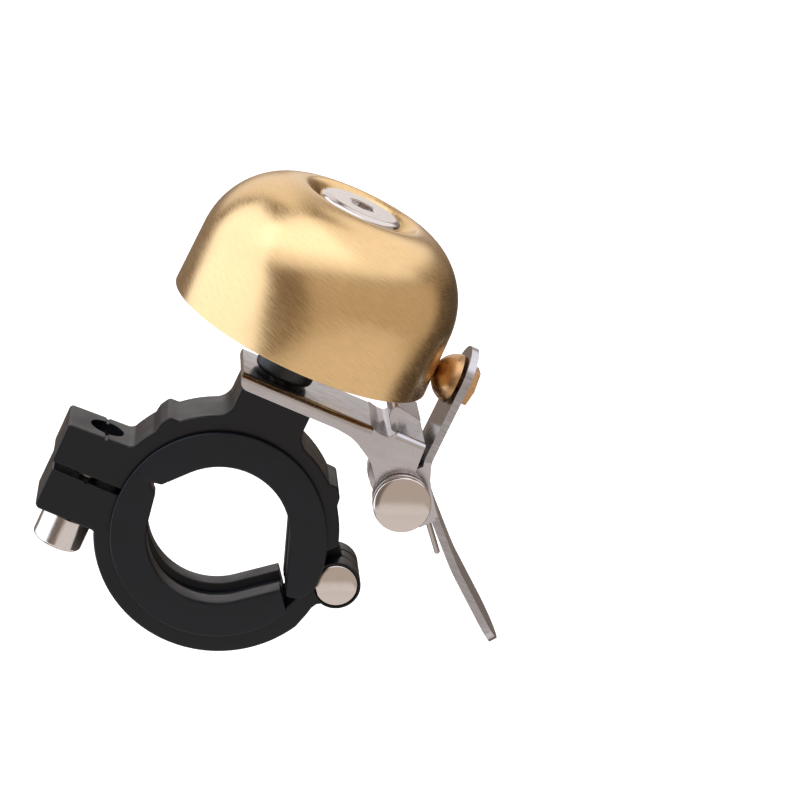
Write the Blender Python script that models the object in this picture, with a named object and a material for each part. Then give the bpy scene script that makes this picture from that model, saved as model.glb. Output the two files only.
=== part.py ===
"""Bicycle bell: a brass dome on a post, struck by a sprung thumb lever, on a hinged handlebar clamp.

The origin is on the handlebar's axis, in the middle of the clamp's width. +Y runs along the bar,
+Z points up through the dome, and +X points to the thumb lever. All sizes are in metres.
"""

import math

import bmesh
import bpy
from mathutils import Matrix, Vector

# The two handlebar sizes that set the clamp: 31.8 mm bare, and 22.2 mm with the shim in.
BAR_RADIUS = 0.0111
CLAMP_BORE = 0.0159
GAP = 0.0003

# Clamp
CLAMP_WIDTH = 0.0102
LOWER_RADIUS = 0.0197
LOWER_CENTRE = (0.0003, -0.0005)  # the clamp is drawn loosely closed, so its lower half hangs a little
UPPER_RADIUS = 0.0192
UPPER_CENTRE_X = -0.0003
LUG_END_X = -0.0285
LUG_TOP_Z = 0.0070
LUG_BOTTOM_Z = -0.00765
LUG_ROOT = (-0.0182, 0.0074)
SPLIT_UPPER_Z = 0.00034
SPLIT_LOWER_Z = -0.00065
WEB_INNER = (0.0166, 0.00356)  # the bevel where the upper half ends above the hinge
WEB_OUTER = (0.01805, 0.00512)
SADDLE_TOP_Z = 0.0245
SADDLE_LEFT_X = -0.0065
SADDLE_RIGHT_X = 0.0052
SADDLE_FOOT_Z = 0.0183
SADDLE_FILLET = 0.0028
CORNER = 0.0005
RIB_ANGLES = (43.5, 136.5)
RIB_WIDTH = 13.0
RIB_HEIGHT = 0.00125

# Clamp hinge and bolt
HINGE_X = 0.02065
HINGE_Z = -0.00085
KNUCKLE_RADIUS = 0.00385
KNUCKLE_SPLIT = 0.00145
KNUCKLE_END = 0.0041
HINGE_PIN_RADIUS = 0.0015
HINGE_HEAD_RADIUS = 0.00345
BOLT_X = -0.0222
BOLT_RADIUS = 0.0023
BOLT_HEAD_RADIUS = 0.0040
BOLT_HEAD_HEIGHT = 0.0053
BOLT_TIP_Z = 0.0046
LUG_HOLE_RADIUS = 0.00275

# Shim
SHIM_RADIUS = CLAMP_BORE - GAP
SHIM_FLANGE_RADIUS = 0.01685
SHIM_WIDTH = 0.0121
SHIM_FLANGE = 0.00065
SHIM_RIB_EDGE = 0.0020
SHIM_CHANNEL_DEPTH = 0.0012
SHIM_THINNEST = 0.0148
NOTCH_ANGLE = 165.0
NOTCH_RADIUS = 0.0136
# Where the bore leaves its circle and runs straight, as (first angle, last angle).
STRAIGHT_RUNS = ((20.0, -21.5), (138.0, 161.0), (191.0, 169.5), (309.0, 343.5))
SHIM_ENDS = (-18.0, 340.5)

# Bracket
SHEET = 0.0012
BRACKET_WIDTH = 0.0139
BRACKET_LEFT_X = -0.0074
BRACKET_RIGHT_X = 0.0232
FLOOR_Z = 0.0260
STEP_Z = 0.0269
TROUGH_Z = 0.0256
FLANGE_Z = 0.0236
TAB_WIDTH = 0.0090

# Lever and its pivot
PIVOT_X = 0.0235
PIVOT_Z = 0.0170
LEVER_WIDTH = 0.0110
LEVER_SHEET = 0.00125
ARM_X = 0.02555
ARM_TOP_Z = 0.0424
TIP_X = 0.0490
TIP_Z = 0.0001
EAR_RADIUS = 0.0044
RIVET_RADIUS = 0.0020
RIVET_HEAD_RADIUS = 0.00455
WASHER_THICKNESS = 0.0007
WIRE_RADIUS = 0.00045
COIL_RADIUS = 0.0030
COIL_TURNS = 5
COIL_HALF_WIDTH = 0.0029
LEG_ANGLE = 47.0  # where the leg on the thumb plate leaves the coil
LEGS_APART = 88.0
LEG_END = (0.0335, 0.0100)
FIXED_LEG_END = (0.0156, 0.0238)

# Hammer
HAMMER_X = 0.0244
HAMMER_Z = 0.0366
HAMMER_RADIUS = 0.00385
STUD_RADIUS = 0.0014
NUT_RADIUS = 0.0033
NUT_HEIGHT = 0.0013

# Dome and what holds it
DOME_X = -0.0009
RIM_RADIUS = 0.02125
RIM_Z = 0.0333
SIDE_RADIUS = 0.02095
SHOULDER_Z = 0.0430
CROWN_RADIUS = 0.0085
CROWN_Z = 0.0562
DIMPLE_RADIUS = 0.0073
DIMPLE_Z = 0.0536
DOME_WALL = 0.0011
DOME_HOLE = 0.0023
SCREW_HEAD_RADIUS = 0.0069
SCREW_HEAD_HEIGHT = 0.0012
SCREW_RADIUS = 0.0019
SCREW_TIP_Z = 0.0185
POST_RADIUS = 0.0047
BUSH_HEIGHT = 0.0021

TURN_STEPS = 40


def polar(radius, degrees, centre=(0.0, 0.0)):
    """The point (x, z) at this radius and angle, counter-clockwise from +X."""
    turn = math.radians(degrees)
    return centre[0] + radius * math.cos(turn), centre[1] + radius * math.sin(turn)


def arc(radius, start, end, steps, centre=(0.0, 0.0)):
    """Points along an arc, both ends included."""
    return [polar(radius, start + (end - start) * i / steps, centre) for i in range(steps + 1)]


def rounded(corners, steps=5):
    """An outline from corners (x, z) or (x, z, radius), with an arc where a radius is given."""
    points = []
    for i, corner in enumerate(corners):
        here = Vector(corner[:2])
        if len(corner) < 3:
            points.append(tuple(here))
            continue
        before = (Vector(corners[i - 1][:2]) - here).normalized()
        after = (Vector(corners[(i + 1) % len(corners)][:2]) - here).normalized()
        half = before.angle(after) / 2
        centre = here + (before + after).normalized() * corner[2] / math.sin(half)
        start = (here + before * corner[2] / math.tan(half)) - centre
        end = (here + after * corner[2] / math.tan(half)) - centre
        sweep = start.angle_signed(end)
        for k in range(steps + 1):
            spoke = start.copy()
            spoke.rotate(Matrix.Rotation(-sweep * k / steps, 2))
            points.append(tuple(centre + spoke))
    return points


def offset_line(points, distance):
    """The same open line, moved sideways, to its left for a positive distance."""
    moved = []
    for i, point in enumerate(points):
        before = Vector(points[max(i - 1, 0)])
        after = Vector(points[min(i + 1, len(points) - 1)])
        along = (after - before).normalized()
        moved.append((point[0] - along.y * distance, point[1] + along.x * distance))
    return moved


def curve_through(points, steps):
    """A smooth open line through the points, by Catmull-Rom segments."""
    ends = [Vector(p) for p in points]
    ends = [2 * ends[0] - ends[1]] + ends + [2 * ends[-1] - ends[-2]]
    line = []
    for a, b, c, d in zip(ends, ends[1:], ends[2:], ends[3:]):
        for k in range(steps):
            t = k / steps
            line.append(0.5 * (2 * b + (c - a) * t + (2 * a - 5 * b + 4 * c - d) * t**2
                               + (3 * b - a - 3 * c + d) * t**3))
    line.append(ends[-2])
    return [tuple(p) for p in line]


def new_object(name, mesh_parts, finish, origin=(0.0, 0.0, 0.0)):
    """An object from a bmesh in world coordinates, with its origin moved to the given point."""
    bmesh.ops.recalc_face_normals(mesh_parts, faces=mesh_parts.faces)
    bmesh.ops.translate(mesh_parts, verts=mesh_parts.verts, vec=-Vector(origin))
    mesh = bpy.data.meshes.new(name)
    mesh_parts.to_mesh(mesh)
    mesh_parts.free()
    mesh.shade_smooth()
    mesh.set_sharp_from_angle(angle=math.radians(30))
    obj = bpy.data.objects.new(name, mesh)
    obj.location = origin
    bpy.context.scene.collection.objects.link(obj)
    if finish:
        mesh.materials.append(finish)
    return obj


def plate(name, outline, y_from, y_to, finish=None, origin=(0.0, 0.0, 0.0)):
    """A solid with an (x, z) outline, between two places along Y."""
    made = bmesh.new()
    face = made.faces.new([made.verts.new((x, y_from, z)) for x, z in outline])
    lifted = bmesh.ops.extrude_face_region(made, geom=[face])["geom"]
    moved = [v for v in lifted if isinstance(v, bmesh.types.BMVert)]
    bmesh.ops.translate(made, verts=moved, vec=(0.0, y_to - y_from, 0.0))
    return new_object(name, made, finish, origin)


def turned(name, profile, finish, centre, axis="Z", closed=False, origin=None, steps=TURN_STEPS):
    """A solid of revolution from (radius, height) points, about an axis through the centre.

    An open profile starts and ends on the axis. A closed one is a ring's section.
    """
    made = bmesh.new()
    verts = [made.verts.new((radius, 0.0, height)) for radius, height in profile]
    pairs = zip(verts, verts[1:] + verts[:1]) if closed else zip(verts, verts[1:])
    edges = [made.edges.new(pair) for pair in pairs]
    bmesh.ops.spin(made, geom=verts + edges, cent=(0, 0, 0), axis=(0, 0, 1),
                   angle=math.tau, steps=steps, use_merge=True)
    bmesh.ops.remove_doubles(made, verts=made.verts, dist=1e-7)
    bmesh.ops.dissolve_degenerate(made, edges=made.edges, dist=1e-7)
    facing = {"Z": Matrix.Identity(4), "Y": Matrix.Rotation(math.radians(-90), 4, "X"),
              "X": Matrix.Rotation(math.radians(90), 4, "Y")}[axis]
    bmesh.ops.transform(made, matrix=Matrix.Translation(centre) @ facing, verts=made.verts)
    return new_object(name, made, finish, centre if origin is None else origin)


def rod(name, radius, low, high, centre, axis="Z", steps=32):
    """A plain cylinder, used as a cutter, between two heights from the centre along the axis."""
    profile = [(0.0, low), (radius, low), (radius, high), (0.0, high)]
    return turned(name, profile, None, centre, axis, steps=steps)


def prism(name, radius, low, high, centre, axis="Z"):
    """A six-sided bar for sockets and nuts, by its radius to the corners."""
    return rod(name, radius, low, high, centre, axis, steps=6)


def boolean(obj, other, operation="DIFFERENCE"):
    """Cuts or joins with a helper, which stays in the file as a hidden wire."""
    other.hide_render = True
    other.display_type = "WIRE"
    step = obj.modifiers.new(other.name, "BOOLEAN")
    step.operation = operation
    step.object = other
    step.solver = "EXACT"


def finish(name, colour, roughness, metallic=0.0):
    """A Principled material."""
    made = bpy.data.materials.new(name)
    made.use_nodes = True
    shader = made.node_tree.nodes["Principled BSDF"]
    shader.inputs["Base Color"].default_value = (*colour, 1.0)
    shader.inputs["Roughness"].default_value = roughness
    shader.inputs["Metallic"].default_value = metallic
    made.diffuse_color = (*colour, 1.0)
    return made


def upper_radius(degrees):
    """The upper clamp half's outer radius, with its two rounded ribs."""
    radius = UPPER_RADIUS
    for rib in RIB_ANGLES:
        away = abs(degrees - rib) / (RIB_WIDTH / 2)
        if away < 1:
            radius += RIB_HEIGHT * math.cos(away * math.pi / 2) ** 2
    return radius


def upper_arc(start, end, steps):
    centre = (UPPER_CENTRE_X, 0.0)
    angles = [start + (end - start) * i / steps for i in range(steps + 1)]
    return [polar(upper_radius(angle), angle, centre) for angle in angles]


def clamp_upper(black):
    """The half with the saddle for the bracket, the tapped lug and the hinge's middle knuckle."""
    outline = rounded(
        arc(CLAMP_BORE, 178.8, 12.0, 40)
        + [WEB_INNER, WEB_OUTER]
        + upper_arc(17.0, 66.0, 30)
        + [(SADDLE_RIGHT_X, SADDLE_FOOT_Z, SADDLE_FILLET), (SADDLE_RIGHT_X, SADDLE_TOP_Z, CORNER)]
        + [(SADDLE_LEFT_X, SADDLE_TOP_Z, CORNER), (SADDLE_LEFT_X, SADDLE_FOOT_Z, SADDLE_FILLET)]
        + upper_arc(114.0, 156.0, 26)
        + [(*LUG_ROOT, 2 * CORNER), (LUG_END_X, LUG_TOP_Z, CORNER), (LUG_END_X, SPLIT_UPPER_Z, CORNER)]
    )
    half = CLAMP_WIDTH / 2
    body = plate("clamp_upper", outline, -half, half, black)
    hinge = (HINGE_X, HINGE_Z)
    web = [(WEB_INNER[0] - GAP, WEB_INNER[1] - 2 * GAP), (WEB_OUTER[0], WEB_OUTER[1] + GAP)]
    knuckle = web + arc(KNUCKLE_RADIUS, 98.0, -190.0, 24, hinge)
    boolean(body, plate("upper_knuckle", knuckle, -KNUCKLE_SPLIT, KNUCKLE_SPLIT), "UNION")
    boolean(body, rod("upper_hinge_hole", HINGE_PIN_RADIUS + GAP, -0.003, 0.003,
                      (HINGE_X, 0.0, HINGE_Z), "Y", 24))
    boolean(body, rod("upper_bolt_hole", LUG_HOLE_RADIUS, -0.001, 0.010, (BOLT_X, 0.0, 0.0)))
    boolean(body, rod("saddle_hole", SCREW_RADIUS + GAP, 0.0180, 0.0260, (DOME_X, 0.0, 0.0), steps=24))
    return body


def clamp_lower(black):
    """The swinging half, with the plain lug and the hinge's two outer knuckles."""
    outline = rounded(
        arc(CLAMP_BORE, 180.6, 359.6, 36, LOWER_CENTRE)
        + [(0.0180, -0.0006)]
        + arc(LOWER_RADIUS, 342.0, 203.0, 30, LOWER_CENTRE)
        + [(-0.0176, LUG_BOTTOM_Z), (LUG_END_X + 0.0005, LUG_BOTTOM_Z, 0.0008)]
        + [(LUG_END_X + 0.0004, SPLIT_LOWER_Z, 0.0005)]
    )
    origin = (HINGE_X, 0.0, HINGE_Z)
    half = CLAMP_WIDTH / 2
    body = plate("clamp_lower", outline, -half, half, black, origin)
    neck = [(0.0172, -0.0006), (0.0172, -0.0082)] + arc(KNUCKLE_RADIUS, -130.0, 150.0, 26, (HINGE_X, HINGE_Z))
    boolean(body, plate("lower_knuckle", neck, -KNUCKLE_END, KNUCKLE_END), "UNION")
    boolean(body, rod("knuckle_slot", KNUCKLE_RADIUS + GAP, -KNUCKLE_SPLIT - GAP, KNUCKLE_SPLIT + GAP,
                      origin, "Y", 40))
    for side, name in ((-1, "near_spot_face"), (1, "far_spot_face")):
        ends = sorted((side * KNUCKLE_END, side * 0.0060))
        boolean(body, rod(name, HINGE_HEAD_RADIUS + GAP, *ends, origin, "Y", 40))
    boolean(body, rod("lower_hinge_hole", HINGE_PIN_RADIUS + GAP, -0.006, 0.006, origin, "Y", 24))
    boolean(body, rod("lower_bolt_hole", LUG_HOLE_RADIUS, -0.010, 0.001, (BOLT_X, 0.0, 0.0)))
    return body


def hinge_pin(nickel):
    """The clamp hinge's rivet, with a low domed head at each end."""
    under = KNUCKLE_END + GAP
    head = [(HINGE_HEAD_RADIUS, under), (HINGE_HEAD_RADIUS, under + 0.00025),
            (0.0026, under + 0.0006), (0.0014, under + 0.00075), (0.0, under + 0.0008)]
    half = [(HINGE_PIN_RADIUS, under)] + head
    profile = [(r, -h) for r, h in reversed(half)] + half
    return turned("hinge_pin", profile, nickel, (HINGE_X, 0.0, HINGE_Z), "Y", steps=32)


def clamp_bolt(steel):
    """The M5 socket screw, entering from below. Its thread is drawn plain."""
    seat = LUG_BOTTOM_Z - GAP
    base = seat - BOLT_HEAD_HEIGHT
    profile = [(0.0, base), (BOLT_HEAD_RADIUS - 0.0004, base), (BOLT_HEAD_RADIUS, base + 0.0004),
               (BOLT_HEAD_RADIUS, seat), (BOLT_RADIUS, seat), (BOLT_RADIUS, BOLT_TIP_Z - 0.0004),
               (BOLT_RADIUS - 0.0004, BOLT_TIP_Z), (0.0, BOLT_TIP_Z)]
    bolt = turned("clamp_bolt", profile, steel, (BOLT_X, 0.0, 0.0), steps=40)
    boolean(bolt, prism("bolt_socket", 0.0023, base - 0.001, base + 0.0025, (BOLT_X, 0.0, 0.0)))
    return bolt


def shim_inner(degrees):
    """The bore's radius at an angle: round, but straight beside the notch and beside the split."""
    for contact, end in STRAIGHT_RUNS:
        low, high = sorted((contact, end))
        if low <= degrees <= high:
            return BAR_RADIUS / math.cos(math.radians(degrees - contact))
    return BAR_RADIUS


def shim_drop(degrees):
    """How far the lower half hangs below the upper one: all of it away from the notch and the split."""
    if not NOTCH_ANGLE < degrees < 345.0:
        return 0.0
    return -LOWER_CENTRE[1] * min(1.0, (degrees - NOTCH_ANGLE) / 25.0)


def shim_section(degrees):
    """(radius, y) points round the shim's wall at an angle: flanges outside, a wide channel inside."""
    inner = shim_inner(degrees)
    if abs(degrees - NOTCH_ANGLE) < 1.0:
        inner = NOTCH_RADIUS
    channel = max(min(inner + SHIM_CHANNEL_DEPTH, SHIM_THINNEST), inner + 0.0001)
    edge = SHIM_WIDTH / 2
    near = [(inner + 0.0005, -edge), (inner, -edge + 0.0006), (inner, -SHIM_RIB_EDGE - 0.0005),
            (channel, -SHIM_RIB_EDGE)]
    outside = [(SHIM_RADIUS, -edge + SHIM_FLANGE), (SHIM_FLANGE_RADIUS, -edge + SHIM_FLANGE),
               (SHIM_FLANGE_RADIUS, -edge + 0.0002), (SHIM_FLANGE_RADIUS - 0.0002, -edge)]
    return (near + [(r, -y) for r, y in reversed(near)]
            + [(r, -y) for r, y in reversed(outside)] + outside)


def shim_angles():
    """Angles about 6 degrees apart, with the ends of the straight runs and the notch among them."""
    notch = [NOTCH_ANGLE - 0.5, NOTCH_ANGLE + 0.5]
    marks = [SHIM_ENDS[0], 20.0, 138.0, 161.0] + notch + [169.5, 191.0, 309.0, SHIM_ENDS[1]]
    angles = []
    for low, high in zip(marks, marks[1:]):
        steps = max(1, round((high - low) / 6.0))
        angles += [low + (high - low) * i / steps for i in range(steps)]
    return angles + [marks[-1]]


def bar_shim(plastic):
    """A C-shaped sleeve with a living hinge at the notch. Its two ends lap past each other."""
    made = bmesh.new()
    angles = shim_angles()
    loops = []
    for angle in angles:
        loop = []
        for radius, y in shim_section(angle):
            lean = 0.0
            if angle == angles[0]:
                lean = 2.5 * (radius - BAR_RADIUS) / (SHIM_FLANGE_RADIUS - BAR_RADIUS)
            if angle == angles[-1]:
                lean = -9.0 * (radius - BAR_RADIUS) / (SHIM_FLANGE_RADIUS - BAR_RADIUS)
            x, z = polar(radius, angle + lean)
            loop.append(made.verts.new((x, y, z - shim_drop(angle))))
        loops.append(loop)
    for first, second in zip(loops, loops[1:]):
        for i in range(len(first)):
            k = (i + 1) % len(first)
            made.faces.new((first[i], first[k], second[k], second[i]))
    made.faces.new(loops[0])
    made.faces.new(loops[-1])
    return new_object("bar_shim", made, plastic)


def bracket_outline():
    """The side view of the flange and the ear, with the floor's top as its upper edge."""
    pivot = (PIVOT_X, PIVOT_Z)
    dip = curve_through([(0.0146, FLOOR_Z), (0.0157, TROUGH_Z + 0.0001), (0.0169, TROUGH_Z),
                         (0.0177, TROUGH_Z + 0.0005), (0.0182, STEP_Z)], 4)
    ear_side = curve_through([(0.0190, 0.0165), (0.0185, 0.0182), (0.0172, 0.0202), (0.0151, 0.0220),
                              (0.0125, 0.0232), (0.0098, FLANGE_Z)], 4)
    return rounded(
        [(BRACKET_LEFT_X, FLOOR_Z)] + dip + [(BRACKET_RIGHT_X, STEP_Z, 0.0004)]
        + [(PIVOT_X + 0.0001, 0.0222)] + arc(EAR_RADIUS, 45.0, -160.0, 20, pivot)
        + ear_side + [(BRACKET_LEFT_X, FLANGE_Z, 0.0016)]
    )


def bracket(steel):
    """The stamped channel over the saddle, with a stop tab on its floor and two ears for the pivot."""
    half = BRACKET_WIDTH / 2
    body = plate("bracket", bracket_outline(), -half, half, steel)
    # The inside of the channel: under the floor, its dip and its step, and out past the flanges.
    under = [(-0.010, FLOOR_Z - SHEET), (0.0144, FLOOR_Z - SHEET), (0.0155, TROUGH_Z - SHEET),
             (0.0172, TROUGH_Z - SHEET), (0.0188, STEP_Z - SHEET), (0.030, STEP_Z - SHEET),
             (0.030, 0.010), (-0.010, 0.010)]
    inside = half - SHEET
    boolean(body, plate("bracket_inside", under, -inside, inside))
    # The stop tab's middle line: up from the dip, over, and down to its tip.
    spine = curve_through([(0.0180, 0.0258), (0.0172, 0.0275), (0.0166, 0.0289), (0.0170, 0.0296),
                           (0.0182, 0.0294), (0.0209, 0.0284)], 4)
    tab = offset_line(spine, 0.0005) + offset_line(spine, -0.0005)[::-1]
    boolean(body, plate("stop_tab", tab, -TAB_WIDTH / 2, TAB_WIDTH / 2), "UNION")
    boolean(body, rod("bracket_hole", 0.0025, 0.020, 0.030, (DOME_X, 0.0, 0.0), steps=24))
    boolean(body, rod("ear_holes", RIVET_RADIUS + GAP, -0.010, 0.010, (PIVOT_X, 0.0, PIVOT_Z), "Y", 24))
    return body


def lever_line():
    """The strip's outer face, from the top of the arm to the tip of the thumb plate."""
    bend = [(ARM_X, 0.0248), (0.02595, 0.0229), (0.0268, 0.0211), (0.0284, 0.0186), (0.0304, 0.0162),
            (0.0343, 0.0124), (0.0398, 0.0073), (0.0440, 0.0038), (TIP_X, TIP_Z)]
    return [(ARM_X, ARM_TOP_Z)] + curve_through(bend, 3)


def round_end(name, middle, direction, width):
    """A cutter that leaves a half-round end, for a strip that ends at a point and runs along a direction."""
    radius = width / 2
    made = bmesh.new()
    outline = [(radius * 1.3, -radius * 1.5)] + [(radius * 1.3, radius * 1.5)]
    outline += [(-radius, radius * 1.5), (-radius, radius)]
    outline += [(radius * math.sin(t) - radius, radius * math.cos(t))
                for t in [math.pi * i / 24 for i in range(1, 24)]]
    outline += [(-radius, -radius), (-radius, -radius * 1.5)]
    along = Vector((direction[0], 0.0, direction[1])).normalized()
    across = Vector((0.0, 1.0, 0.0))
    out = along.cross(across)
    base = Vector((middle[0], 0.0, middle[1]))
    ring = [made.verts.new(base + along * a + across * b - out * 0.004) for a, b in outline]
    face = made.faces.new(ring)
    lifted = bmesh.ops.extrude_face_region(made, geom=[face])["geom"]
    moved = [v for v in lifted if isinstance(v, bmesh.types.BMVert)]
    bmesh.ops.translate(made, verts=moved, vec=out * 0.008)
    return new_object(name, made, None)


def striker_lever(steel):
    """The stamped lever: a tall arm, a thumb plate, and two ears folded in to the pivot."""
    pivot = (PIVOT_X, 0.0, PIVOT_Z)
    outer = lever_line()
    inner = offset_line(outer, -LEVER_SHEET)
    ear = ([(0.0252, 0.0236), (0.0238, 0.0222)] + arc(EAR_RADIUS, 100.0, 318.0, 22, (PIVOT_X, PIVOT_Z))
           + [(0.0284, 0.0136), (0.0302, 0.0157)])
    half = LEVER_WIDTH / 2
    body = plate("striker_lever", outer + inner[::-1], -half, half, steel, pivot)
    for side, name in ((-1, "near_ear"), (1, "far_ear")):
        ends = sorted((side * half, side * (half - LEVER_SHEET)))
        boolean(body, plate(name, ear, *ends), "UNION")
    boolean(body, round_end("arm_end", (ARM_X, ARM_TOP_Z), (0.0, 1.0), LEVER_WIDTH))
    boolean(body, round_end("thumb_end", (TIP_X, TIP_Z), (0.0050, -0.0037), LEVER_WIDTH))
    boolean(body, rod("lever_holes", RIVET_RADIUS + GAP, -0.010, 0.010, pivot, "Y", 24))
    boolean(body, rod("stud_hole", STUD_RADIUS + GAP, -0.003, 0.003, (ARM_X, 0.0, HAMMER_Z), "X", 24))
    return body


def pivot_rivet(nickel):
    """The lever's rivet, with a wide low domed head at each end."""
    under = BRACKET_WIDTH / 2 + WASHER_THICKNESS + 2 * GAP
    half = [(RIVET_RADIUS, under), (RIVET_HEAD_RADIUS, under), (RIVET_HEAD_RADIUS, under + 0.0005),
            (0.0041, under + 0.00085), (0.0030, under + 0.00115), (0.0016, under + 0.00135),
            (0.0, under + 0.0014)]
    profile = [(r, -h) for r, h in reversed(half)] + half
    return turned("pivot_rivet", profile, nickel, (PIVOT_X, 0.0, PIVOT_Z), "Y", steps=40)


def pivot_washer(name, side, nickel):
    inner = RIVET_RADIUS + GAP
    low = BRACKET_WIDTH / 2 + GAP
    section = [(inner, low), (RIVET_HEAD_RADIUS, low), (RIVET_HEAD_RADIUS, low + WASHER_THICKNESS),
               (inner, low + WASHER_THICKNESS)]
    profile = [(r, side * h) for r, h in section]
    return turned(name, profile, nickel, (PIVOT_X, 0.0, PIVOT_Z), "Y", closed=True, steps=40)


def torsion_spring(steel):
    """A coil round the rivet, one leg along the thumb plate and one under the bracket's floor."""
    sweep = COIL_TURNS * 360.0 + LEGS_APART
    points = [(LEG_END[0], -COIL_HALF_WIDTH, LEG_END[1])]
    steps = 16 * COIL_TURNS
    for i in range(steps + 1):
        part = i / steps
        x, z = polar(COIL_RADIUS, LEG_ANGLE + sweep * part, (PIVOT_X, PIVOT_Z))
        points.append((x, COIL_HALF_WIDTH * (2 * part - 1), z))
    points.append((FIXED_LEG_END[0], COIL_HALF_WIDTH, FIXED_LEG_END[1]))
    wire = bpy.data.curves.new("torsion_spring", "CURVE")
    wire.dimensions = "3D"
    wire.bevel_depth = WIRE_RADIUS
    wire.bevel_resolution = 1
    wire.use_fill_caps = True
    line = wire.splines.new("POLY")
    line.points.add(len(points) - 1)
    for point, place in zip(line.points, points):
        point.co = (*place, 1.0)
    wire.materials.append(steel)
    spring = bpy.data.objects.new("torsion_spring", wire)
    bpy.context.scene.collection.objects.link(spring)
    return spring


def hammer_ball(brass):
    """The striker: a ball cut flat against the arm, on a stud that passes through it."""
    back = ARM_X - LEVER_SHEET - GAP
    reach = back - HAMMER_X
    ball = [(HAMMER_RADIUS * math.sin(t), -HAMMER_RADIUS * math.cos(t))
            for t in [math.pi * i / 24 for i in range(13)]]
    ball = [(r, h) for r, h in ball if h < reach - 0.0001]
    rim = math.sqrt(HAMMER_RADIUS**2 - reach**2)
    profile = ball + [(rim, reach), (STUD_RADIUS, reach), (STUD_RADIUS, 0.0031), (0.0, 0.0031)]
    return turned("hammer_ball", profile, brass, (HAMMER_X, 0.0, HAMMER_Z), "X", steps=28)


def hammer_nut(brass):
    """The thin six-sided nut that holds the ball's stud."""
    low = ARM_X + GAP - HAMMER_X
    nut = prism("hammer_nut", NUT_RADIUS, low, low + NUT_HEIGHT, (HAMMER_X, 0.0, HAMMER_Z), "X")
    nut.data.materials.append(brass)
    boolean(nut, rod("nut_hole", STUD_RADIUS + GAP, -0.001, 0.006, (HAMMER_X, 0.0, HAMMER_Z), "X", 24))
    return nut


def dome_outer():
    """(radius, z) of the outside, from the rim up over the shoulder and down into the dimple."""
    shoulder = [(CROWN_RADIUS + (SIDE_RADIUS - CROWN_RADIUS) * math.cos(t),
                 SHOULDER_Z + (CROWN_Z - SHOULDER_Z) * math.sin(t))
                for t in [math.pi / 2 * i / 9 for i in range(10)]]
    dimple = [(0.0080, CROWN_Z - 0.0003), (0.0076, CROWN_Z - 0.0010), (DIMPLE_RADIUS, DIMPLE_Z + 0.0006),
              (DIMPLE_RADIUS - 0.0006, DIMPLE_Z)]
    return [(RIM_RADIUS, RIM_Z)] + shoulder + dimple


def bell_dome(brass):
    """A spun shell of even thickness, with a sunk seat and a hole for the screw."""
    outer = dome_outer()
    inner = offset_line(outer, DOME_WALL)
    inner[0] = (RIM_RADIUS - DOME_WALL, RIM_Z)
    inner = [point for point in inner if point[0] > DIMPLE_RADIUS + 0.0014]
    inner += [(DIMPLE_RADIUS + 0.0010, DIMPLE_Z - 0.0004), (DIMPLE_RADIUS, DIMPLE_Z - DOME_WALL)]
    section = outer + [(DOME_HOLE, DIMPLE_Z), (DOME_HOLE, DIMPLE_Z - DOME_WALL)] + inner[::-1]
    return turned("bell_dome", section, brass, (DOME_X, 0.0, 0.0), closed=True, steps=56)


def dome_screw(nickel):
    """The long screw with a wide flat head, through dome, bush, post and bracket into the saddle."""
    low = DIMPLE_Z + 2 * GAP + 0.0004
    top = low + SCREW_HEAD_HEIGHT
    profile = [(0.0, SCREW_TIP_Z), (SCREW_RADIUS, SCREW_TIP_Z), (SCREW_RADIUS, low),
               (SCREW_HEAD_RADIUS - 0.0003, low), (SCREW_HEAD_RADIUS, low + 0.0003),
               (SCREW_HEAD_RADIUS, top - 0.0002), (SCREW_HEAD_RADIUS - 0.0002, top), (0.0, top)]
    screw = turned("dome_screw", profile, nickel, (DOME_X, 0.0, 0.0))
    boolean(screw, prism("screw_socket", 0.0020, top - 0.0008, top + 0.001, (DOME_X, 0.0, 0.0)))
    return screw


def ring(name, inner, outer, low, high, material, edge=0.0002):
    """A washer, bush or post about the dome's axis, with small chamfers outside."""
    section = [(inner, low), (outer - edge, low), (outer, low + edge), (outer, high - edge),
               (outer - edge, high), (inner, high)]
    return turned(name, section, material, (DOME_X, 0.0, 0.0), closed=True, steps=40)


def build():
    for obj in list(bpy.data.objects):
        bpy.data.objects.remove(obj)
    brass = finish("brushed brass", (0.60, 0.38, 0.15), 0.32, 1.0)
    copper = finish("hammer brass", (0.52, 0.27, 0.10), 0.35, 1.0)
    steel = finish("satin stainless steel", (0.56, 0.54, 0.53), 0.35, 1.0)
    nickel = finish("polished nickel", (0.66, 0.62, 0.58), 0.12, 1.0)
    black = finish("black painted aluminium", (0.035, 0.035, 0.037), 0.45)
    plastic = finish("black moulded nylon", (0.016, 0.018, 0.022), 0.40)
    rubber = finish("black rubber", (0.010, 0.010, 0.010), 0.60)

    clamp_upper(black)
    clamp_lower(black)
    hinge_pin(nickel)
    clamp_bolt(steel)
    bar_shim(plastic)
    bracket(steel)
    striker_lever(steel)
    pivot_rivet(nickel)
    pivot_washer("pivot_washer_near", -1, nickel)
    pivot_washer("pivot_washer_far", 1, nickel)
    torsion_spring(steel)
    hammer_ball(copper)
    hammer_nut(copper)
    bell_dome(brass)
    dome_screw(nickel)
    bore = SCREW_RADIUS + GAP
    bush_top = DIMPLE_Z - DOME_WALL - GAP
    ring("head_washer", bore, 0.0060, DIMPLE_Z + GAP, DIMPLE_Z + GAP + 0.0004, rubber, 0.0001)
    ring("dome_bush", bore, 0.0055, bush_top - BUSH_HEIGHT, bush_top, rubber)
    ring("dome_post", bore, POST_RADIUS, FLOOR_Z + GAP, bush_top - BUSH_HEIGHT - GAP, rubber, 0.0008)


build()
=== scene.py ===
"""Bicycle bell: a brushed brass dome, a sprung thumb lever with a brass striker, and a hinged bar clamp.

Each operator makes one piece, or one group of like pieces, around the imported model. All sizes are in metres.
"""

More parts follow.
